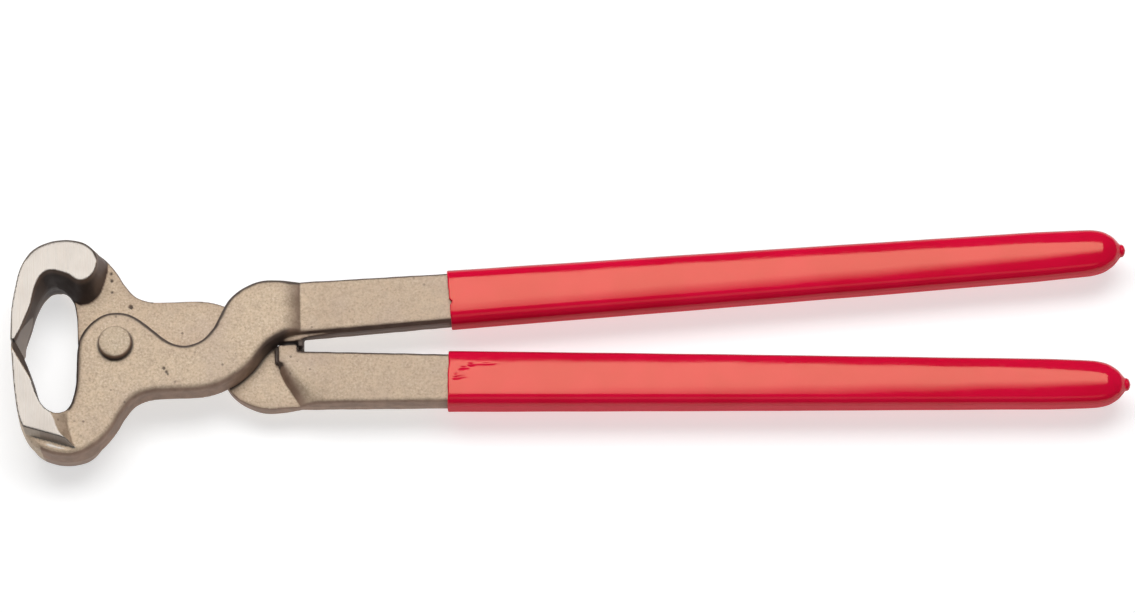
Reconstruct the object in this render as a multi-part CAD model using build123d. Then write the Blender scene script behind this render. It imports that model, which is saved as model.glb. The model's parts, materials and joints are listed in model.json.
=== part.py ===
"""Farrier's hoof nipper: two lap-jointed forged levers, a pivot rivet and two dipped vinyl grips.

Modelled lying on its side and closed. +X runs from the pivot to the handle ends, +Z is up.
Both levers are the same forging: the bottom one is the top one turned half a turn about X.
"""

from build123d import *
import os

# Driving dimensions, in millimetres, measured from the pivot axis and the lap plane.
LAP_THICKNESS = 8.5  # each lever's plate at the pivot
JAW_HALF_WIDTH = 12.5  # half the length of the cutting edge
LAP_GAP = 0.05  # each plate stays this far from the lap plane
BAR_HALF_THICKNESS = 4.7
EDGE_LEVEL = 1.4  # where the two cutting edges meet
EDGE_GAP = 0.2  # left between the edges when closed
STOP_GAP = 1.2  # left between the stop bosses when closed
STOP_BOSS = (7.0, 6.0, 6.4)
STOP_BOSS_X = 61.0
RIVET_RADIUS = 4.0
RIVET_CLEARANCE = 0.05  # radial, in the top lever, which turns on the rivet
RIVET_HEAD_RADIUS = 5.6
RIVET_HEAD_HEIGHT = 3.2
RIVET_HEAD_GAP = 0.1  # under the head, so that the top lever turns
LOBE_RADIUS = 12.2  # the round end of the plate about the pivot
SHOULDER_X = 62.0  # where the plate has become the handle bar
BAR_END_X = 340.0
GRIP_START_X = 112.5
GRIP_END_X = 341.8
GRIP_WALL = 1.7
GRIP_CORNER = 4.6
GRIP_END_LENGTH = 8.0  # over which the grip rounds off
NUB_RADIUS = 1.8
NUB_TIP_X = 345.9

# The handle bar's centre line is straight: its height above the tool's axis at two stations.
BAR_LINE = ((66.0, 12.6), (BAR_END_X, 24.0))
BAR_CORNER = 1.6
# The handle bar's sections: station, width, half thickness.
BAR_SECTIONS = (
    (54.5, 17.4, BAR_HALF_THICKNESS),
    (66.0, 18.6, BAR_HALF_THICKNESS),
    (GRIP_START_X, 16.4, 4.5),
    (200.0, 14.6, 4.3),
    (BAR_END_X, 10.6, 4.0),
)


def bar_centre(x):
    """Height of the handle's centre line above the tool's axis at station x."""
    (x0, y0), (x1, y1) = BAR_LINE
    return y0 + (y1 - y0) * (x - x0) / (x1 - x0)


def bar_width(x):
    """Width of the handle bar at station x, read between its sections."""
    for (x0, w0, _), (x1, w1, _) in zip(BAR_SECTIONS, BAR_SECTIONS[1:]):
        if x <= x1:
            return w0 + (w1 - w0) * (x - x0) / (x1 - x0)
    return BAR_SECTIONS[-1][1]


def bar_section(x, width, half_thickness, corner):
    """A rounded rectangle across the handle at station x."""
    where = Plane(origin=(x, bar_centre(x), 0), x_dir=(0, 1, 0), z_dir=(1, 0, 0))
    return where * RectangleRounded(width, 2 * half_thickness, corner)


def grip_half_thickness(x):
    """Half the grip's thickness at station x."""
    return 6.1 - (x - GRIP_START_X) / 500


def plate_outline():
    """Plan of the lever's own lap plate: jaw, pivot lobe and the curve up to the handle."""
    tip_outside = (-35.1, EDGE_LEVEL + 3)
    tip_inside = (-33.8, EDGE_LEVEL + 3)
    outside = Spline(
        tip_outside, (-34.6, -7.6), (-33.6, -17), (-31.5, -26.5), (-27.4, -33.2), (-22.3, -36.6),
        (-16.3, -37.8), (-10.3, -37), (-4.8, -33.6), (-0.6, -28.8), (3.2, -22.8), (6.8, -19.3),
        (11.5, -17.8), (18, -17.5), (27.8, -17.5), (34.6, -16.1), (41.4, -12.2), (46.6, -7.4),
        (50.2, -2.4), (53.2, 1.2), (57, 3.6), (SHOULDER_X, 5),
    )
    handle_end = Line((SHOULDER_X, 5), (SHOULDER_X, 20.6))
    lobe = CenterArc((0, 0), LOBE_RADIUS, 48, 132)
    back = Spline(
        (SHOULDER_X, 20.6), (56.5, 21.8), (51, 22), (45.8, 20.9), (40.6, 17.9), (37, 13.8), (34.3, 8.4),
        (31.8, 3.8), (28.3, 0.9), (23.5, -0.4), (18.5, 1), (13.4, 5.1), lobe @ 0,
        tangents=[(-1, 0), lobe % 0],
    )
    inside = Spline(
        lobe @ 1, (-12.6, -7), (-13, -14), (-14.2, -20.6), (-17.2, -23.9), (-21, -24.8), (-24.4, -22.8),
        (-26.6, -17.5), (-28.4, -11), (-31, -4), tip_inside,
        tangents=[lobe % 1, (-0.35, 0.94)],
    )
    tip = Line(tip_inside, tip_outside)
    return make_face(outside + handle_end + back + lobe + inside + tip)


def jaw_hook(face):
    """Plan of the jaw's other half, which ends in a round hook: at its face or at its root on the plate."""
    if face:
        start = (-34.5, EDGE_LEVEL + 3)
        back = ((-34.1, -10), (-32.8, -19.4), (-30.7, -27), (-27, -32.6), (-21.6, -35.6), (-15, -36))
        nose = ((-9.2, -33.8), (-6.6, -30.6), (-6.3, -27), (-8.2, -23.8), (-11.6, -22.6))
        front = (
            (-15.2, -23.9), (-19, -25.9), (-23, -25.8), (-26.4, -22.4), (-28.6, -16.5), (-30.4, -9),
            (-32, -3),
        )
    else:
        start = (-34.7, EDGE_LEVEL + 3)
        back = ((-34.2, -8), (-33, -17.4), (-30.9, -26.4), (-27, -32.6), (-21.9, -35.8), (-16, -36.9))
        nose = ((-10.6, -36), (-6, -32.6), (-4.2, -27.6), (-6.2, -22.2), (-10.6, -19.6))
        front = (
            (-14.8, -22.4), (-19, -25.4), (-22.4, -25.2), (-25.4, -22.6), (-27.4, -17), (-29.2, -10.4),
            (-31.4, -4),
        )
    end = (start[0] + 1, start[1])
    return make_face(Spline(start, *back, *nose, *front, end) + Line(end, start))


def jaw_cheek():
    """Plan of the ground side face, which stands above the plate on the jaw's own side."""
    start = (-34.7, EDGE_LEVEL + 3)
    end = (-34.2, EDGE_LEVEL + 3)
    outside = Spline(start, (-34.1, -8), (-33, -17.2), (-30.9, -26.3), (-28.9, -30.2))
    root = Spline((-28.9, -30.2), (-24, -32.8), (-18.6, -34.8))
    shoulder = Line((-18.6, -34.8), (-21, -25.6))
    inside = Spline((-21, -25.6), (-24.8, -23.4), (-27.1, -17.7), (-28.9, -11.1), (-31.4, -4), end)
    return make_face(outside + root + shoulder + inside + Line(end, start))


def handle_bar():
    """The tapered bar from the lap to the handle's end."""
    sections = [bar_section(x, width, half, BAR_CORNER) for x, width, half in BAR_SECTIONS]
    return loft(sections, ruled=True)


def step_cutter():
    """The room over the lap that the bar gives up to the other lever's plate, with a curved step."""
    step = Spline((54, 30), (58.5, 24), (58.5, 19), (56, 12), (54.8, 5), (54.8, -2))
    edge = step + Line((54.8, -2), (40, -2)) + Line((40, -2), (40, 30)) + Line((40, 30), (54, 30))
    return extrude(make_face(edge), amount=-20)


def lever(edge_level):
    """One forged lever: its plate above the lap plane, its cutting edge ground back to edge_level."""
    plate = extrude(Pos(0, 0, LAP_GAP) * plate_outline(), amount=LAP_THICKNESS - LAP_GAP)
    hook = loft([Pos(0, 0, LAP_GAP) * jaw_hook(False), Pos(0, 0, -JAW_HALF_WIDTH) * jaw_hook(True)])
    cheek = extrude(Pos(0, 0, LAP_THICKNESS) * jaw_cheek(), amount=JAW_HALF_WIDTH - LAP_THICKNESS)
    bar = handle_bar() - step_cutter()
    boss = Box(*STOP_BOSS, align=(Align.CENTER, Align.MIN, Align.CENTER))
    boss = Pos(STOP_BOSS_X, STOP_GAP / 2, 0.6) * boss
    shape = plate + hook + cheek + bar + boss
    above_edge = Pos(-34, edge_level + 10, 0) * Box(12, 20, 4 * JAW_HALF_WIDTH)
    return shape - above_edge


def standing_cylinder(radius, base, height):
    """A cylinder on the pivot axis that stands on the level base."""
    return Pos(0, 0, base) * Cylinder(radius, height, align=(Align.CENTER, Align.CENTER, Align.MIN))


def pivot_rivet():
    """The rivet: flush under the bottom lever, with an upset head over the top lever."""
    shank_top = LAP_THICKNESS + RIVET_HEAD_GAP
    shank = standing_cylinder(RIVET_RADIUS, -LAP_THICKNESS, LAP_THICKNESS + shank_top)
    head = standing_cylinder(RIVET_HEAD_RADIUS, shank_top, RIVET_HEAD_HEIGHT)
    head = chamfer(head.edges().group_by(Axis.Z)[-1], 0.6)
    return shank + head


def bore(radius):
    """A hole through a plate for the rivet."""
    return Cylinder(radius, 4 * JAW_HALF_WIDTH)


def grip(bar):
    """The dipped sleeve over a handle bar, closed round its end, with the nub that the last drip leaves."""
    stations = (GRIP_START_X, 200.0, 300.0, GRIP_END_X - GRIP_END_LENGTH)
    sections = [
        bar_section(x, bar_width(x) + 2 * GRIP_WALL, grip_half_thickness(x), GRIP_CORNER)
        for x in stations
    ]
    body = loft(sections, ruled=True)
    last = stations[-1]
    end = [
        bar_section(last, bar_width(last) + 2 * GRIP_WALL, 5.65, GRIP_CORNER),
        bar_section(last + 5, bar_width(last) + 1.2, 4.9, 4.4),
        bar_section(GRIP_END_X, 7.6, 3.4, 3.2),
    ]
    nub_base = Plane(origin=(GRIP_END_X - 1, bar_centre(GRIP_END_X), 0), z_dir=(1, 0, 0))
    nub_length = NUB_TIP_X - GRIP_END_X + 1
    nub = nub_base * Cylinder(NUB_RADIUS, nub_length, align=(Align.CENTER, Align.CENTER, Align.MIN))
    return body + loft(end, ruled=True) + nub - bar


def half_turn(shape):
    """The same shape turned half a turn about the tool's long axis."""
    return shape.rotate(Axis.X, 180)


def main():
    top_edge = EDGE_LEVEL - EDGE_GAP / 2
    bottom_edge = -EDGE_LEVEL - EDGE_GAP / 2
    top_bar = handle_bar()
    top_blank = lever(top_edge)
    bottom_blank = lever(bottom_edge)
    parts = {
        "top_lever_forging": top_blank - bore(RIVET_RADIUS + RIVET_CLEARANCE),
        "bottom_lever_forging": half_turn(bottom_blank) - bore(RIVET_RADIUS),
        "pivot_rivet": pivot_rivet(),
        "top_lever_grip": grip(top_bar),
        "bottom_lever_grip": half_turn(grip(top_bar)),
    }
    boxes = [shape.bounding_box() for shape in parts.values()]
    low = [min(tuple(box.min)[axis] for box in boxes) for axis in range(3)]
    high = [max(tuple(box.max)[axis] for box in boxes) for axis in range(3)]
    pivot = (-(low[0] + high[0]) / 2, -(low[1] + high[1]) / 2, -low[2])
    print("overall size", [round(b - a, 2) for a, b in zip(low, high)], "pivot at", pivot)
    os.makedirs("parts", exist_ok=True)
    for name, shape in parts.items():
        export_step(Pos(*pivot) * shape, f"parts/{name}.step")


main()
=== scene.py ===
"""Looks of the hoof nipper: forged levers with ground jaws, an upset rivet and glossy dipped vinyl grips."""

import json
import math

import bpy
import numpy as np
import openvdb
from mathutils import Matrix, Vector


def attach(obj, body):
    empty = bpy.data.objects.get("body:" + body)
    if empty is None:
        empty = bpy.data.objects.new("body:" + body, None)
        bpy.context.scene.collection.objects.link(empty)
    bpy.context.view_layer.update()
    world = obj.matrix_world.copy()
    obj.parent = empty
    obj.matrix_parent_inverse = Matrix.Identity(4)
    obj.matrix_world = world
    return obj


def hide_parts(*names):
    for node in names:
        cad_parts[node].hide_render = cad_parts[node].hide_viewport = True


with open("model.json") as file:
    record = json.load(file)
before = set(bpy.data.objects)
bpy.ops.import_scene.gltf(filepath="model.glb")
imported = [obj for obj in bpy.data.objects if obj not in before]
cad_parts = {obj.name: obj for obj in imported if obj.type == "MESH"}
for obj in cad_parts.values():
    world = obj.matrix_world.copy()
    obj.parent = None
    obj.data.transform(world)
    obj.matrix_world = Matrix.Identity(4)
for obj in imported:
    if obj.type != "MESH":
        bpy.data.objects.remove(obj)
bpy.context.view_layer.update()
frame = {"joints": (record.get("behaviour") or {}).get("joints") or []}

MM = 0.001
PIVOT = Vector(frame["joints"][0]["pos_m"])  # on the rivet's axis, at the lap plane

# Everything below is in millimetres from PIVOT, with the top lever as modelled: +X to the handles,
# its own plate above the lap plane, its jaw at negative Y and its handle at positive Y.
# The bottom lever is made the same way, with other arguments to lever_mesh, and turned half a turn about X.
FINE = 0.4  # grid pitch from the jaws to the start of the grip
COARSE = 3.0  # grid pitch along the bar, inside the grip
LAP_GAP = 0.05  # each plate stays this far from the lap plane, apart from its ripples
LAP = 8.5  # top of the plate
JAW = 12.5  # half the length of the cutting edge
EDGE_LEVEL = 1.4  # where the two cutting edges meet
EDGE_GAP = 0.2  # left between the edges when closed
BORE_RADIUS = 4.05
BOSS_START = 54.8
GRIP_START = 112.5
BAR_END = 330.0


# ---------------------------------------------------------------- fields

def curve(points, steps=8):
    """Points along a smooth curve through the given ones (centripetal Catmull-Rom)."""
    p = np.array(points, float)
    p = np.vstack([2 * p[0] - p[1], p, 2 * p[-1] - p[-2]])
    out = []
    for a, b, c, d in zip(p, p[1:], p[2:], p[3:]):
        t0 = 0.0
        t1 = t0 + math.sqrt(np.linalg.norm(b - a))
        t2 = t1 + math.sqrt(np.linalg.norm(c - b))
        t3 = t2 + math.sqrt(np.linalg.norm(d - c))
        for t in np.linspace(t1, t2, steps, endpoint=False):
            ab = a + (b - a) * (t - t0) / (t1 - t0)
            bc = b + (c - b) * (t - t1) / (t2 - t1)
            cd = c + (d - c) * (t - t2) / (t3 - t2)
            abc = ab + (bc - ab) * (t - t0) / (t2 - t0)
            bcd = bc + (cd - bc) * (t - t1) / (t3 - t1)
            out.append(abc + (bcd - abc) * (t - t1) / (t2 - t1))
    out.append(p[-2])
    return np.array(out)


def outline(*strokes):
    """A closed outline of smooth strokes that meet at corners."""
    return np.vstack([curve(stroke) for stroke in strokes])


def plan_distance(loop, x, y):
    """Signed distance to a closed outline at every (x, y), negative inside."""
    px, py = np.meshgrid(x, y, indexing="ij")
    best = np.full(px.shape, 1e9)
    inside = np.zeros(px.shape, bool)
    for (ax, ay), (bx, by) in zip(loop, np.roll(loop, -1, axis=0)):
        ex, ey = bx - ax, by - ay
        length = ex * ex + ey * ey
        if length < 1e-12:
            continue
        t = np.clip(((px - ax) * ex + (py - ay) * ey) / length, 0, 1)
        best = np.minimum(best, (px - ax - t * ex) ** 2 + (py - ay - t * ey) ** 2)
        if ay != by:
            crosses = ((ay > py) != (by > py)) & (px < (bx - ax) * (py - ay) / (by - ay) + ax)
            inside ^= crosses
    return np.where(inside, -1.0, 1.0) * np.sqrt(best)


def both(a, b, r=0.0):
    """Intersection of two fields, its edge rounded to radius r."""
    if np.isscalar(r) and r == 0:
        return np.maximum(a, b)
    return np.minimum(-r, np.maximum(a, b)) + np.hypot(np.maximum(a + r, 0), np.maximum(b + r, 0))


def either(a, b, r=0.0):
    """Union of two fields, its corner filled to radius r."""
    if np.isscalar(r) and r == 0:
        return np.minimum(a, b)
    return np.maximum(r, np.minimum(a, b)) - np.hypot(np.maximum(r - a, 0), np.maximum(r - b, 0))


def ramp(t):
    """0 to 1, level at both ends."""
    t = np.clip(t, 0, 1)
    return t * t * (3 - 2 * t)


def ripple(x, y, z, seed, size):
    """Slow random waves, about -1 to 1, for surfaces that a hammer die has left."""
    rng = np.random.default_rng(seed)
    total = 0
    for _ in range(10):
        way = rng.normal(size=3)
        way *= 2 * math.pi / (size * rng.uniform(0.7, 1.5) * np.linalg.norm(way))
        total = total + np.sin(x * way[0] + y * way[1] + z * way[2] + rng.uniform(0, 2 * math.pi))
    return total / 4


# ---------------------------------------------------------------- lever

PLATE_PLAN = outline(
    [(-35.6, 8), (-35.4, 0), (-34.9, -8), (-34.1, -17.2), (-32.4, -27), (-28.4, -34.3), (-22.4, -37.7),
     (-16.3, -38.9), (-10.3, -38), (-5.2, -34.8), (-0.8, -29.9), (2.8, -24), (6.4, -19.9),
     (11, -18), (18, -17.6), (27.8, -17.6), (34.6, -16.2), (41.4, -12.6), (46.6, -8), (50.2, -3.2),
     (53.4, -0.5), (56.4, 1.2), (60, 2.5), (64, 3.1), (72, 3.6)],
    [(72, 22.4), (62, 22.1), (56, 22.2), (51, 22.3), (45.8, 21.1), (40.6, 18.1), (37, 14.1),
     (34.3, 8.8), (31.8, 4.5), (28.3, 1.2), (23.5, -0.2), (18.5, 1.2), (13.4, 5.3), (8.6, 9.4),
     (4.4, 11.8), (0, 12.5), (-4.8, 11.6), (-8.9, 8.8), (-12.2, 4.2), (-13.3, -1), (-13.6, -7),
     (-13.9, -13.5), (-15.2, -19.6), (-17.6, -23.1), (-20.7, -24.2), (-23.6, -22.2), (-26.1, -17.5),
     (-27.9, -11.5), (-29.7, -6), (-31.7, 0), (-32.7, 4), (-33.5, 8)],
)
HOOK_ROOT = outline(
    [(-35.6, 8), (-35.4, 0), (-34.9, -8), (-34.1, -17.2), (-32.1, -27), (-28.1, -34.2), (-22.4, -37.7),
     (-16.3, -38.8), (-10.3, -37.8), (-5.8, -35), (-3.4, -31.6), (-4, -27.6), (-5.4, -23.2),
     (-7.4, -19.8), (-10.7, -17.8), (-13.6, -18.2), (-16.5, -20.8), (-19.2, -23.2), (-22.2, -23.6),
     (-24.6, -21.2), (-26.3, -17.5), (-28.1, -11.5), (-29.9, -6), (-31.7, 0), (-32.7, 4),
     (-33.5, 8)],
)
HOOK_FACE = outline(
    [(-35, 8), (-35.1, -1), (-34.8, -12), (-33.6, -20), (-31.8, -27.2), (-28.2, -33.2), (-22, -36.4),
     (-15.6, -36.9), (-10, -35.4), (-6.8, -32.4), (-5.9, -28.4), (-7, -24.8), (-9.4, -22.5),
     (-12.4, -22.2), (-15.6, -24.3), (-18.6, -25.5), (-21.7, -26.1), (-24.6, -24.7), (-26.5, -21.4),
     (-27.6, -17.6), (-28.5, -13.4), (-30.1, -9.4), (-31.9, -5), (-33.6, -1.8), (-34.4, 2),
     (-34.6, 8)],
)
CAVITY = outline(
    [(-12.2, 4.2), (-13.3, -1), (-13.6, -7), (-13.9, -13.5), (-15.2, -19.6), (-17.6, -23.1),
     (-20.7, -24.2), (-23.6, -22.2), (-26.1, -17.5), (-27.9, -11.5), (-29.7, -6), (-31.7, 0),
     (-32.7, 4), (-33.5, 8)],
    [(-33.5, 8), (-12.2, 8)],
)
STEP = outline(
    [(54.8, -6), (54.6, 3), (54.7, 8), (56.2, 12.6), (58.5, 16.6), (61.8, 22.4), (64, 27)],
    [(64, 40), (0, 40)],
    [(0, -6), (54, -6)],
)
RIDGE = outline(
    [(55, 2.6), (57, 0.75)],
    [(57.2, 0.8), (61, 1.15), (63.4, 1.8), (66, 2.3), (73, 3.2), (80, 3.75), (90, 4.3), (113, 5.7)],
    [(113, 9), (55, 8)],
)
PITS_ABOVE = ((16.3, -9.2, 0.6), (17.1, -10.6, 0.55), (17.6, -11.4, 0.45))
PITS_BELOW = ((-2.1, -28.6, 0.55), (-1.9, -26.1, 0.55), (-1.8, -21.8, 0.5), (4.6, -16.3, 0.7))


def bar_centre(x):
    return 12.6 + (x - 66) * 11.4 / 274


def bar_half_width(x):
    return np.interp(x, [55, 66, GRIP_START, 200, 340], [9.6, 9.5, 8.8, 7.5, 5.4])


def bar_half_thickness(x):
    return np.interp(x, [66, GRIP_START, 200, 340], [4.75, 4.6, 4.4, 4.0])


def block(at, centre, half, r, r_level=0.0):
    """A box with its upright edges rounded to r, and those of its top and bottom to r_level."""
    sides = both(np.abs(at[0] - centre[0]) - half[0], np.abs(at[1] - centre[1]) - half[1], r)
    return both(sides, np.abs(at[2] - centre[2]) - half[2], r_level)


def lever_field(x, y, z, edge_level, hook_inset, boss_end, relief):
    """(finished field, field before grinding) of one lever over a grid, in millimetres."""
    gx, gy, gz = x[:, None, None], y[None, :, None], z[None, None, :]
    up, down = np.maximum(gz, 0), np.maximum(-gz, 0)
    plan = plan_distance(PLATE_PLAN, x, y)[:, :, None]
    inward = ramp((-plan - 0.4) / 2)
    thick = bar_half_thickness(gx)

    # the plate turns into the handle bar without a seam
    turned = ramp((gx - 56) / 9)
    bar_side = np.abs(gy - bar_centre(gx)) - bar_half_width(gx)
    side = plan * (1 - turned) + bar_side * turned + (0.09 - 0.05 * ramp((-8 - gx) / 8)) * np.abs(gz)
    fallen = np.clip((gx - 55.5) / 7.1, 0, 1)
    level = np.where(gx < 64, LAP - (LAP - 4.75) * fallen**1.8, thick)
    tilt = np.where(fallen < 1, 0.95 * fallen**0.8, 0)
    body = both(side, (gz - level) / np.sqrt(1 + tilt**2), 2.0 - 1.0 * turned)
    body = both(body, gx - BAR_END, 1.5)

    # past the step the bar comes down through the lap plane
    past_step = np.where(gx > 54, plan_distance(STEP, x, y)[:, :, None], -5)
    reach = np.interp(gy, [7, 12, 22], [0.5, 1.5, 4.0])
    fall = np.exp(-np.maximum(past_step - 0.2, 0) / reach)
    floor_level = (thick + LAP_GAP) * (1 - fall)
    steepness = np.where(past_step > 0.2, 4.8 / reach * fall, 0)
    lower = (LAP_GAP - floor_level - gz) / np.sqrt(1 + steepness**2)
    edge = 0.35 + 0.9 * ramp((past_step - 1) / 5)
    body = both(body, lower, edge)

    # the jaw's own side rises over a sloping root to its side face
    along = (gx + 20.44) * 0.487 - (gy + 26.81) * 0.873
    across = (gx + 20.44) * 0.873 + (gy + 26.81) * 0.487
    across = across + 0.8 * np.sin(np.clip(along / 9, 0, 1) * math.pi)
    steep = 4 / np.interp(along, [0, 5, 9.3], [5.0, 3.6, 1.4])
    root = (across * steep + gz - JAW) / np.sqrt(1 + steep**2)
    facet_out = -(gx + 30.6) * 0.31 - (gy + 29.5) * 0.951
    cheek = both(both(plan + 0.04 * up, root), facet_out - 1.4)
    cheek = both(cheek, 1 - gz)
    facet = (3 * facet_out + gz - JAW) / 3.16
    body = either(body, cheek, 0.03 + 0.5 * inward)

    # the other side ends in a round hook that stands on the back of the plate
    lean = np.clip(down / JAW, 0, 1.15)
    hook_root = plan_distance(HOOK_ROOT, x, y)[:, :, None]
    hook_face = plan_distance(HOOK_FACE, x, y)[:, :, None]
    inset = hook_inset * ramp((-gy - 3) / 9)
    hook = both(hook_root * (1 - lean) + (hook_face + inset) * lean, gz - LAP_GAP - 0.8)
    body = either(body, hook, 0.03 + 0.9 * inward)

    # the inside of the jaw leans back from the lap plane
    at_lap, draft = relief
    opened = at_lap * (1 - lean) * ramp((-20 - gx) / 4) + draft * up * ramp((-14 - gx) / 6)
    opened = opened * ramp((2 - gy) / 9)
    opened = opened - plan_distance(CAVITY, x, y)[:, :, None]
    body = both(body, np.where((gx < -14) & ((gz > 0) | (gx < -20)), opened, -5))

    # stop boss and trimmed flash between the handles
    at = (gx, gy, gz)
    middle, half_length = (boss_end + BOSS_START) / 2, (boss_end - BOSS_START) / 2
    boss = block(at, (middle, 4, -1.1), (half_length, 3.15, 3.55), 0.5, 0.5)
    if boss_end < 62:
        foot = block(at, (55.3, 3.65, 0.4), (1.6, 3, 2), 0.3)
        foot = either(foot, block(at, (55.3, 3.05, 1.38), (1.6, 3.6, 1.02), 0.3))
        boss = either(boss, foot)
    else:
        heel = block(at, (62.33, 2.8, -1.1), (0.97, 3.8, 3.55), 0.3, 0.3)
        heel = either(heel, block(at, (61.7, 2.8, -3.72), (1.6, 3.8, 0.93), 0.3))
        boss = either(boss, heel)
    flash = both(plan_distance(RIDGE, x, y)[:, :, None], np.abs(gz - 1.6) - 1.4, 0.4)
    body = either(body, either(boss, flash, 0.4), 0.5)

    worn = ramp((gx + 27) / 3)
    body = body + worn * (0.045 * ripple(gx, gy, gz, 5, 9) + 0.03 * ripple(gx, gy, gz, 8, 4))
    for pits, surface in ((PITS_ABOVE, LAP + 0.1), (PITS_BELOW, LAP_GAP - 0.1)):
        for px, py, r in pits:
            body = np.maximum(body, r - np.sqrt((gx - px) ** 2 + (gy - py) ** 2 + (gz - surface) ** 2))
    blank = body

    bevel = ((gx + 33.4) + 0.48 * (gy - edge_level)) / 1.109
    worn_edge = 0.02 + 0.9 * ramp((-gy - 28.5) / 3) * (gz < 0)
    ground = both(blank, np.abs(gz) - JAW, worn_edge)
    ground = np.where(gz > LAP, both(ground, facet), ground)
    near_edge = (gx < -20) & (gy > -13)
    ground = np.where(near_edge, both(both(ground, bevel), gy - edge_level), ground)
    ground = both(ground, BORE_RADIUS - np.hypot(gx, gy))
    return ground.astype(np.float32), blank.astype(np.float32)


def sample(field, at):
    """Trilinear reading of a grid at fractional indices."""
    at = np.clip(at, 0, np.array(field.shape) - 1.001)
    low = np.floor(at).astype(int)
    f = at - low
    out = 0
    for dx in (0, 1):
        for dy in (0, 1):
            for dz in (0, 1):
                weight = np.abs(1 - dx - f[:, 0]) * np.abs(1 - dy - f[:, 1]) * np.abs(1 - dz - f[:, 2])
                out = out + weight * field[low[:, 0] + dx, low[:, 1] + dy, low[:, 2] + dz]
    return out


def paint(mesh, **layers):
    """Stores a number at each vertex for each named layer, for the materials to read."""
    for label, values in layers.items():
        mesh.attributes.new(label, "FLOAT", "POINT").data.foreach_set("value", values.astype(np.float32))


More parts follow.
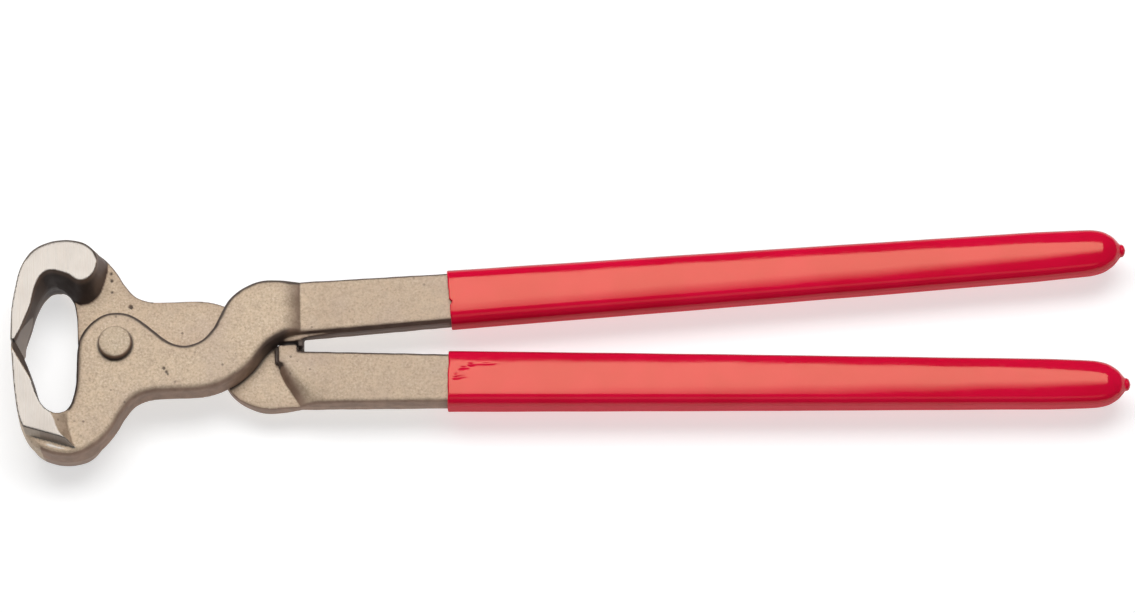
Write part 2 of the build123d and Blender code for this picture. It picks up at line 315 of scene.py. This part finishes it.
def lever_mesh(name, edge_level, hook_inset, boss_end, relief, half_turn):
    x = np.concatenate([np.arange(-37.5, 119, FINE), np.arange(119, BAR_END + 4, COARSE)])
    y = np.arange(-41, 32, FINE)
    z = np.arange(-14, 14.01, FINE)
    field, blank = lever_field(x, y, z, edge_level, hook_inset, boss_end, relief)
    grid = openvdb.FloatGrid(3.0)
    grid.copyFromArray(np.clip(field, -3, 3))
    points, quads = grid.convertToQuads(isovalue=0.0)
    places = [np.interp(points[:, i], np.arange(len(axis)), axis) for i, axis in enumerate((x, y, z))]
    places = np.stack(places, axis=1)
    slopes = [sample(slope, points) for slope in np.gradient(field)]
    length = np.sqrt(sum(slope**2 for slope in slopes)) + 1e-9
    ground = sample(blank, points) < -0.06
    nx, ny, nz = [slope / length for slope in slopes]
    px, py, pz = places.T
    far, upward = (-ny, -nz) if half_turn else (ny, nz)  # towards +Y and +Z once the lever is in place
    plan = np.repeat(plan_distance(PLATE_PLAN, x, y)[:, :, None], 2, axis=2)
    first_layer = 0 * px
    own_edge = sample(plan, np.stack([points[:, 0], points[:, 1], first_layer], axis=1))
    own_edge = np.where(px < 60, own_edge, np.abs(py - bar_centre(px)) - bar_half_width(px))
    mirrored = np.interp(-py, y, np.arange(len(y)))
    other_edge = sample(plan, np.stack([points[:, 0], mirrored, first_layer], axis=1))

    jaw_back = (px < -25.3) & (nx < -0.25)
    # walls take a darker colour in the material: oxide and painted shade
    wall = ramp((0.99 - np.abs(nz)) / 0.36)
    # painted shade: near black on the walls inside the hook and on the walls behind the plate
    inside_loop = ((px + 20) * nx + (py + 12) * ny < 0) & (px < -12)
    behind = ((pz < -0.3) & (px < 0) & (nx > -0.2)) * (ramp((ny + 0.95) / 0.5) if half_turn else ny > -0.2)
    soot = wall * np.maximum(inside_loop, behind)
    soot = soot * (0.55 + 0.45 * ramp((11.6 - np.abs(pz)) / 2.5)) * (1 - 0.3 * ramp((nx - 0.6) / 0.3))
    # painted shade along the rounded edges that face away, towards +Y and up
    far_edge = ramp((0.993 - np.abs(nz)) / 0.14) * ramp((far - 0.05) / 0.2) * ramp((upward - 0.15) / 0.3)
    soot = np.maximum(soot, 0.9 * far_edge)
    # painted shade on the walls by the handle's root
    soot = np.maximum(soot, 0.8 * wall * ramp((px - 44) / 8) * ramp((60 - px) / 4) * ramp((-ny - 0.1) / 0.4))
    # painted shade on the top lever's handle walls
    if not half_turn:
        soot = np.maximum(soot, 0.6 * wall * ramp((px - 60) / 6))
    # painted shade in the gap between the bosses
    in_gap = (np.abs(px - 58.5) < 6) & (np.abs(py - 3.7) < 4.7) & (pz < 2.7) & (pz > -5)
    recess = ramp((54.9 - px) / 0.5) * (pz < -0.7) if half_turn else ramp((px - 61.2) / 0.3)
    soot = np.maximum(soot, 0.9 * in_gap * np.maximum(ramp((0.9 - np.abs(nz)) / 0.3), recess))
    root = (pz > LAP - 0.5) & (np.abs(px + 18.5) < 8) & (py < -23) & (nz > 0.35)
    wall = np.where(root, 0.45 * wall, wall)
    soot = np.where(root, 0, soot)

    # painted shade in the seams: round the jaws' opening, a painted shadow beside the other lever's plate,
    # under the rivet's head and in the pits
    near_opening = np.hypot(px + 20, (py + 8) / 1.6) < 14
    soot = np.maximum(soot, 0.8 * near_opening * ramp((own_edge + 1.1) / 0.8) * (pz > LAP - 2))
    on_lap = (np.abs(pz - LAP_GAP) < 0.4) & (np.abs(nz) > 0.8)
    soot = np.maximum(soot, 0.9 * on_lap * ramp((0.95 - other_edge) / 0.7) * ramp((other_edge + 1.2) / 0.8))
    soot = np.maximum(soot, 0.85 * (np.abs(pz - LAP) < 0.6) * ramp((6.45 - np.hypot(px, py)) / 0.6))
    for pits, height in ((PITS_ABOVE, LAP), (PITS_BELOW, 0)):
        for x0, y0, r in pits:
            away = ((px - x0) ** 2 + (py - y0) ** 2) / r**2
            soot = np.maximum(soot, 0.85 * np.exp(-1.6 * away**2) * (np.abs(pz - height) < 1))
    # darker near the plate's edges and along the handles: oxide and painted shade
    wall = np.maximum(wall, 0.4 * np.exp(np.minimum(own_edge, 0) / 2.0))
    wall = np.maximum(wall, 0.2 * ramp((px - 60) / 10))
    wall = np.where(jaw_back, 0.05, wall)

    on_bevel = ground & (np.abs(nz) < 0.5) & (nx > 0.6) & (py > -13)
    worn_off = ground & (pz < -8) & (nz > -0.94) & (py < -27)
    shine = np.where(ground, 1.0, np.where(jaw_back, 0.1, 0.0))
    shine = np.where(on_bevel, 0.55, shine)
    shine = np.where(worn_off, 0.0, shine)
    shine = np.where(ground & (nz > 0) & (nz < 0.6) & (ny < -0.5), 0.7, shine)
    # almost no painted shade on the bevel; near-black painted shade where the ground face is worn round at the
    # hook's end
    soot = np.where(on_bevel, 0.05, soot)
    soot = np.where(worn_off, 0.9, soot)
    if half_turn:
        places *= (1, -1, -1)
    mesh = bpy.data.meshes.new(name)
    mesh.from_pydata(places * MM + np.array(PIVOT), [], quads.tolist())
    paint(mesh, ground=shine, wall=wall, soot=soot)
    mesh.shade_smooth()
    return mesh


# ---------------------------------------------------------------- grip and rivet

def skin(name, rings):
    """A closed mesh through rings of equally many points; the first and the last one close in fans."""
    count = len(rings[0])
    points = np.vstack([rings[0].mean(axis=0), *rings, rings[-1].mean(axis=0)])
    last = len(points) - 1
    turn = np.arange(count)
    after = (turn + 1) % count
    faces = [(0, 1 + int(a), 1 + int(b)) for a, b in zip(turn, after)]
    for row in range(len(rings) - 1):
        start = 1 + row * count
        above = start + count
        for a, b in zip(turn, after):
            faces.append((int(start + a), int(above + a), int(above + b), int(start + b)))
    start = 1 + (len(rings) - 1) * count
    faces += [(int(start + a), last, int(start + b)) for a, b in zip(turn, after)]
    mesh = bpy.data.meshes.new(name)
    mesh.from_pydata(points * MM + np.array(PIVOT), [], faces)
    mesh.shade_smooth()
    return mesh


def section(half_width, half_thickness, corner, crown):
    """(y, z) places and normals round a rectangle with crowned faces and round corners."""
    r = min(corner, half_width * 0.999, half_thickness * 0.999)
    w, h = half_width - r, half_thickness - r
    drop = min(crown, 0.6 * h) * min(w / 3.5, 1)
    lift = math.atan2(2 * drop, max(w, 1e-3)) if w > 1e-3 else 0
    across = np.linspace(-1, 1, 61)
    tilt = np.arctan2(2 * drop * across, max(w, 1e-3))
    face = np.stack([w * across, h - drop * across**2, np.sin(tilt), np.cos(tilt)], axis=1)
    turn = np.linspace(lift, math.pi / 2, 14)[1:]
    bend = np.stack([np.full(13, w), np.full(13, h - drop), np.sin(turn), np.cos(turn)], axis=1)
    down = np.linspace(1, 0, 6)[1:]
    flat = np.stack([np.full(5, w), (h - drop) * down, np.ones(5), np.zeros(5)], axis=1)
    quarter = np.vstack([face[30:], bend, flat])
    lower = quarter[::-1][1:] * (1, -1, 1, -1)
    right = np.vstack([quarter, lower])
    left = right[::-1][1:-1] * (-1, 1, -1, 1)
    ring = np.vstack([right, left])
    return ring[:, :2] + r * ring[:, 2:], ring[:, 2:]


# the grip's round end and its nub: places, half widths and half thicknesses
END_X = (331.5, 333.5, 335.7, 337.2, 338.6, 340.4, 341.4, 342.2, 342.8, 343.3, 343.9, 344.5, 345.06)
END_WIDTH = (7.8, 7.65, 7.25, 6.85, 6.25, 5.2, 4.4, 3.5, 2.75, 2.25, 2.15, 1.7, 0.05)
END_THICKNESS = (5.66, 5.66, 5.6, 5.44, 5.12, 4.35, 3.75, 3.0, 2.4, 2.05, 2.0, 1.6, 0.05)


def grip_mesh(name, side, lift, shorter, rolls, corners, start_at, dents):
    """One dipped grip.

    side is 1 for the top lever's; start_at(y) is its cut edge; dents are (x, y, long, wide, depth).
    """
    stations = [0.0, 0.05, 0.2, 0.45, 0.8, *np.arange(1.2, 16, 0.3), *np.arange(17, 218, 2.5)]
    end_x = np.array(END_X) - shorter
    end_from, end_to = end_x[0], end_x[-1]
    stations = [s for s in stations if s < end_from - GRIP_START - 0.8]
    stations += list(np.linspace(end_from, end_to, 48) - GRIP_START)
    rings = []
    for s in stations:
        x = GRIP_START + s
        if x < end_from:
            a = grip_half_width(x)
            b = 6.1 - (x - GRIP_START) / 500
            lip = 0.4 - math.sqrt(max(0.16 - max(0.4 - s, 0) ** 2, 0))
            a, b = a - lip, b - lip
        else:
            a = float(smooth_interp(x, end_x, END_WIDTH))
            b = float(smooth_interp(x, end_x, END_THICKNESS))
        corner = np.interp(x, [150, 331], corners)
        crown = np.interp(x, [112, 200, 270, 310, 331], [0.32, 0.36, 0.42, 0.53, 0.68])
        place, normal = section(a, b, corner, crown)
        turn = math.radians(rolls[0] * (1 - s / 230) + rolls[1] * s / 230)
        place = place @ [[math.cos(turn), -math.sin(turn)], [math.sin(turn), math.cos(turn)]]
        centre = side * bar_centre(x) + lift
        fade = max(0.0, 1 - s / 12)
        px = x + fade * (start_at(place[:, 0] + centre) - GRIP_START)
        wave = 0.04 * ripple(px, place[:, 0] + centre, place[:, 1], 21 + side, 26)
        push = wave * min(s / 3, 1) * ramp((end_to - 3 - x) / 20)
        for dx, dy, long, wide, depth in dents:
            reach = ((px - dx) / long) ** 2 + ((place[:, 0] + centre - dy) / wide) ** 2
            push = push - depth * np.exp(-reach) * (place[:, 1] > 0)
        across = centre + place[:, 0] + push * normal[:, 0]
        rings.append(np.stack([px, across, place[:, 1] + push * normal[:, 1]], axis=1))
    inner = []
    for x in (GRIP_START, 120, 160, 200, 240, 280, 320, BAR_END + 0.1):
        place, normal = section(bar_half_width(x) + 0.06, bar_half_thickness(x) + 0.06, 1.6, 0)
        place[:, 0] -= np.sign(place[:, 0]) * 0.09 * np.abs(place[:, 1])
        centre = side * bar_centre(x)
        px = x + (x == GRIP_START) * (start_at(place[:, 0] + centre) - GRIP_START)
        inner.append(np.stack([px, centre + place[:, 0], place[:, 1]], axis=1))
    mesh = skin(name, inner[::-1] + rings)
    normals = np.array([normal.vector[:] for normal in mesh.vertex_normals])
    paint(mesh, shade=ramp((normals[:, 1] - 0.55) / 0.4), dull=ramp((0.55 - normals[:, 2]) / 0.4))
    return mesh


def grip_half_width(x):
    return float(np.interp(x, [GRIP_START, 200, 315, 331.5], [10.05, 9.4, 8.3, 7.8]))


def smooth_interp(x, xs, ys):
    """Reads a smooth curve through (xs, ys)."""
    line = curve(list(zip(xs, ys)), 12)
    return np.interp(x, line[:, 0], line[:, 1])


def rivet_mesh():
    """The rivet: shank through both plates and an upset head whose top is a little uneven."""
    head = [(0.9, 11.8), (1.8, 11.81), (2.7, 11.82), (3.6, 11.8), (4.4, 11.76), (4.9, 11.7), (5.2, 11.58),
            (5.42, 11.36), (5.52, 11.0), (5.58, 10.4), (5.6, 9.6), (5.58, 8.9), (5.45, 8.65), (5.2, 8.6)]
    shank = [(4.0, 8.6), (4.0, 8.3), (4.0, 0), (4.0, -8.2), (3.8, -8.45), (3.0, -8.5), (1.5, -8.5)]
    turn = np.linspace(0, 2 * math.pi, 72, endpoint=False)
    rings = []
    for r, z in head + shank:
        x, y = r * np.cos(turn), r * np.sin(turn)
        lump = 0.06 * ripple(x, y, z + 0 * x, 31, 3.2) if z > 10 else 0
        rings.append(np.stack([x * (1 + 0.004 * np.sin(3 * turn + 1)), y, z + lump + 0 * x], axis=1))
    mesh = skin("rivet", rings)
    # the head's side wall takes the darker wall colour, oxide and painted shade, and a painted shadow below its
    # upper edge
    wall = ramp((0.96 - np.abs([normal.vector.z for normal in mesh.vertex_normals])) / 0.4)
    height = np.array([(vertex.co.z - PIVOT.z) / MM for vertex in mesh.vertices])
    paint(mesh, wall=wall, soot=0.75 * wall * ramp((11.4 - height) / 1.5))
    return mesh


def add(mesh, body, slot, *nodes):
    """Shows a mesh as a piece of the nipper in place of its CAD nodes."""
    piece = bpy.data.objects.new(mesh.name, mesh)
    bpy.context.scene.collection.objects.link(piece)
    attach(piece, body)
    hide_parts(*nodes)
    return piece


def top_cut(y):
    nick = np.exp(-(((y - 12.2) / 0.7) ** 2))
    return GRIP_START + 0.15 + (24 - y) * 0.055 + 0.9 * nick + 0.05 * np.sin(y * 1.3)


def bottom_cut(y):
    return GRIP_START - 0.1 - 0.5 * ramp((-8 - y) / 8) - 0.3 * ramp((-19 - y) / 5) + 0.05 * np.sin(y * 1.1)


SCUFFS = (
    (119.9, -10.6, 1.0, 0.5, 0.35), (125.2, -10.6, 2.0, 0.35, 0.2), (114.9, -15.3, 1.1, 0.55, 0.35),
    (117.5, -11.8, 1.3, 0.45, 0.25), (114.7, -13.6, 0.6, 1.2, 0.25), (115.6, -11.9, 2.2, 1.6, 0.1),
    (117.2, -15.0, 1.5, 0.5, 0.12),
)
top_lever = lever_mesh(
    "top_lever", EDGE_LEVEL - EDGE_GAP / 2, hook_inset=0.9, boss_end=63.3, relief=(0, 0), half_turn=False)
top_lever = add(top_lever, "top_lever", "forged_steel", "top_lever_forging")
bottom_lever = lever_mesh(
    "bottom_lever", -EDGE_LEVEL - EDGE_GAP / 2, hook_inset=0, boss_end=61.2, relief=(0.7, 0.16), half_turn=True)
bottom_lever = add(bottom_lever, "bottom_lever", "forged_steel", "bottom_lever_forging")
top_grip = grip_mesh("top_grip", 1, 0.15, 0, (0, -1.9), (4.35, 3.6), top_cut, ())
top_grip = add(top_grip, "top_lever", "red_vinyl", "top_lever_grip")
bottom_grip = grip_mesh("bottom_grip", -1, 0, 2.0, (3.0, -0.9), (3.7, 3.3), bottom_cut, SCUFFS)
bottom_grip = add(bottom_grip, "bottom_lever", "red_vinyl", "bottom_lever_grip")
rivet = add(rivet_mesh(), "bottom_lever", "rivet_steel", "pivot_rivet")


# ---------------------------------------------------------------- materials

class Graph:
    """Short calls for building one material's nodes."""

    def __init__(self, name):
        self.material = bpy.data.materials.new(name)
        self.material.use_nodes = True
        self.nodes = self.material.node_tree.nodes
        self.shader = self.nodes["Principled BSDF"]
        self.object_place = self.nodes.new("ShaderNodeTexCoord").outputs["Object"]

    def link(self, out, into):
        self.material.node_tree.links.new(out, into)

    def stretched(self, scale):
        node = self.nodes.new("ShaderNodeMapping")
        node.inputs["Scale"].default_value = scale
        self.link(self.object_place, node.inputs["Vector"])
        return node.outputs["Vector"]

    def noise(self, scale, detail=2.0, roughness=0.5, place=None):
        node = self.nodes.new("ShaderNodeTexNoise")
        node.inputs["Scale"].default_value = scale
        node.inputs["Detail"].default_value = detail
        node.inputs["Roughness"].default_value = roughness
        self.link(place or self.object_place, node.inputs["Vector"])
        return node.outputs["Fac"]

    def specks(self, scale, size, where):
        """Small scattered spots, more of them and up to 0.6 strong where the given noise is high."""
        node = self.nodes.new("ShaderNodeTexVoronoi")
        node.inputs["Scale"].default_value = scale
        self.link(self.object_place, node.inputs["Vector"])
        spot = self.remap(node.outputs["Distance"], size, size * 1.7, 1, 0)
        product = self.nodes.new("ShaderNodeMath")
        product.operation = "MULTIPLY"
        self.link(spot, product.inputs[0])
        self.link(self.remap(where, 0.45, 0.6, 0, 0.6), product.inputs[1])
        return product.outputs[0]

    def remap(self, value, low, high, to_low, to_high):
        node = self.nodes.new("ShaderNodeMapRange")
        node.interpolation_type = "SMOOTHSTEP"
        node.inputs["From Min"].default_value = low
        node.inputs["From Max"].default_value = high
        node.inputs["To Min"].default_value = to_low
        node.inputs["To Max"].default_value = to_high
        self.link(value, node.inputs["Value"])
        return node.outputs["Result"]

    def mix(self, factor, a, b, kind="MIX"):
        """A colour between a and b; each is a colour or another node's output."""
        node = self.nodes.new("ShaderNodeMix")
        node.data_type = "RGBA"
        node.blend_type = kind
        self.put(factor, node.inputs["Factor"])
        self.put(a, node.inputs["A"])
        self.put(b, node.inputs["B"])
        return node.outputs["Result"]

    def blend(self, factor, a, b):
        """A number between a and b."""
        node = self.nodes.new("ShaderNodeMix")
        self.put(factor, node.inputs["Factor"])
        self.put(a, node.inputs["A"])
        self.put(b, node.inputs["B"])
        return node.outputs["Result"]

    def put(self, value, socket):
        if isinstance(value, bpy.types.NodeSocket):
            self.link(value, socket)
        elif isinstance(value, tuple):
            socket.default_value = (*value, 1)
        else:
            socket.default_value = value

    def attribute(self, name):
        node = self.nodes.new("ShaderNodeAttribute")
        node.attribute_name = name
        return node.outputs["Fac"]

    def bump(self, height, distance, strength=1.0, under=None):
        node = self.nodes.new("ShaderNodeBump")
        node.inputs["Distance"].default_value = distance
        self.put(strength, node.inputs["Strength"])
        self.link(height, node.inputs["Height"])
        if under is not None:
            self.link(under, node.inputs["Normal"])
        return node.outputs["Normal"]


def steel(name, face_light, face_dark):
    """Blasted forged steel, dark on its walls with oxide and painted shade, near black where the mesh lays
    painted shade, with bright ground faces where the mesh says so.
    """
    g = Graph(name)
    ground = g.attribute("ground")
    wall = g.attribute("wall")
    grain = g.noise(1300, 3, 0.65)
    blotch = g.noise(260, 4, 0.6)
    patch = g.noise(60, 3, 0.5)
    lines = g.noise(1, 3, 0.6, g.stretched((3400, 110, 110)))

    face = g.mix(g.remap(blotch, 0.3, 0.7, 0, 1), face_dark, face_light)
    face = g.mix(g.remap(grain, 0.5, 0.68, 0, 0.55), face, (0.74, 0.62, 0.47))
    face = g.mix(g.remap(grain, 0.5, 0.3, 0, 0.52), face, (0.29, 0.205, 0.138))
    face = g.mix(g.remap(patch, 0.45, 0.75, 0, 0.3), face, (0.46, 0.36, 0.31))
    face = g.mix(g.specks(260, 0.085, patch), face, (0.1, 0.065, 0.05))
    # the walls take a darker brown, which is oxide and painted shade; over it goes a near-black painted shade
    oxide_and_shade = g.mix(g.remap(blotch, 0.3, 0.7, 0, 1), (0.245, 0.158, 0.112), (0.375, 0.25, 0.185))
    rough_steel = g.mix(g.attribute("soot"), g.mix(wall, face, oxide_and_shade), (0.06, 0.042, 0.036))

    cut = g.mix(g.remap(lines, 0.3, 0.7, 0, 1), (0.205, 0.184, 0.164), (0.285, 0.263, 0.24))
    cut = g.mix(g.remap(patch, 0.4, 0.75, 0, 0.5), cut, (0.17, 0.148, 0.13))
    g.link(g.mix(ground, rough_steel, cut), g.shader.inputs["Base Color"])

    g.link(g.blend(ground, 0.35, 1.0), g.shader.inputs["Metallic"])
    dull = g.remap(blotch, 0.3, 0.7, 0.56, 0.7)
    keen = g.remap(lines, 0.3, 0.7, 0.34, 0.44)
    g.link(g.blend(ground, dull, keen), g.shader.inputs["Roughness"])
    blast = g.bump(grain, 0.00008, g.blend(ground, 0.7, 0.0))
    g.link(g.bump(lines, 0.00002, g.blend(ground, 0.0, 0.5), blast), g.shader.inputs["Normal"])
    return g.material


def vinyl():
    """Glossy dipped vinyl."""
    g = Graph("red_vinyl_look")
    cloud = g.noise(45, 2, 0.5)
    red = g.mix(g.remap(cloud, 0.35, 0.65, 0, 1), (0.68, 0.001, 0.034), (0.73, 0.0015, 0.042))
    g.link(g.mix(g.attribute("shade"), red, (0.3, 0.0005, 0.02)), g.shader.inputs["Base Color"])
    gloss = g.remap(g.noise(300, 2, 0.5), 0.3, 0.7, 0.07, 0.13)
    g.link(g.blend(g.attribute("dull"), gloss, 0.6), g.shader.inputs["Roughness"])
    g.shader.inputs["IOR"].default_value = 1.48
    g.shader.inputs["Specular Tint"].default_value = (1.0, 0.7, 0.42, 1)
    g.link(g.bump(g.noise(120, 2, 0.5), 0.00003, 0.5), g.shader.inputs["Normal"])
    return g.material


def wear(look, *pieces):
    for piece in pieces:
        piece.data.materials.clear()
        piece.data.materials.append(look)


wear(steel("forged_steel_look", (0.645, 0.505, 0.365), (0.485, 0.372, 0.265)), top_lever, bottom_lever)
wear(steel("rivet_steel_look", (0.6, 0.475, 0.345), (0.46, 0.365, 0.265)), rivet)
wear(vinyl(), top_grip, bottom_grip)


# ---------------------------------------------------------------- stage

def look_at(thing, place, target):
    thing.location = place
    thing.rotation_euler = (Vector(target) - Vector(place)).to_track_quat("-Z", "Y").to_euler()


def from_angle(target, azimuth, elevation, distance):
    a, e = math.radians(azimuth), math.radians(elevation)
    way = Vector((math.sin(a) * math.cos(e), -math.cos(a) * math.cos(e), math.sin(e)))
    return Vector(target) + distance * way


floor_mesh = bpy.data.meshes.new("floor")
floor_mesh.from_pydata([(-3, -3, 0), (3, -3, 0), (3, 3, 0), (-3, 3, 0)], [], [(0, 1, 2, 3)])
floor = bpy.data.objects.new("floor", floor_mesh)
bpy.context.scene.collection.objects.link(floor)
paper = bpy.data.materials.new("paper")
paper.use_nodes = True
paper_shader = paper.node_tree.nodes["Principled BSDF"]
paper_shader.inputs["Base Color"].default_value = (0.55, 0.55, 0.55, 1)
paper_shader.inputs["Emission Color"].default_value = (1, 1, 1, 1)
paper_shader.inputs["Emission Strength"].default_value = 0.58
paper_shader.inputs["Roughness"].default_value = 0.9
floor_mesh.materials.append(paper)

CAMERA_TARGET = PIVOT + Vector((153.4, 11.0, 0)) * MM
camera_data = bpy.data.cameras.new("camera")
camera_data.sensor_width = 36
camera_data.lens = 148.8
camera_data.clip_end = 50
camera = bpy.data.objects.new("camera", camera_data)
bpy.context.scene.collection.objects.link(camera)
look_at(camera, from_angle(CAMERA_TARGET, -2.1, 70, 1.6), CAMERA_TARGET)
bpy.context.scene.camera = camera

world = bpy.data.worlds.new("studio")
bpy.context.scene.world = world
world.use_nodes = True
world.node_tree.nodes["Background"].inputs["Color"].default_value = (1, 1, 1, 1)
world.node_tree.nodes["Background"].inputs["Strength"].default_value = 0.12


def softbox(name, azimuth, elevation, distance, width, height, power):
    data = bpy.data.lights.new(name, "AREA")
    data.shape = "RECTANGLE"
    data.size = width
    data.size_y = height
    data.energy = power
    lamp = bpy.data.objects.new(name, data)
    bpy.context.scene.collection.objects.link(lamp)
    look_at(lamp, from_angle(CAMERA_TARGET, azimuth, elevation, distance), CAMERA_TARGET)


# one overhead softbox in four layers, so that it fades towards its near edge
OVERHEAD_FAR_EDGE = 57  # degrees of elevation, from behind
for layer, near_edge_at in enumerate((78, 81, 84, 87)):
    spread = math.tan(math.radians((near_edge_at - OVERHEAD_FAR_EDGE) / 2))
    middle = (near_edge_at + OVERHEAD_FAR_EDGE) / 2
    softbox(f"overhead_{layer}", 180, middle, 1.2, 1.3, 2.4 * spread, 3.4 * spread / 0.23)
softbox("front_fill", 0, 55, 1.3, 1.3, 0.5, 1.2)
softbox("left_fill", -108, 12, 1.3, 1.2, 0.7, 1.8)
bpy.context.scene.view_settings.view_transform = "Standard"
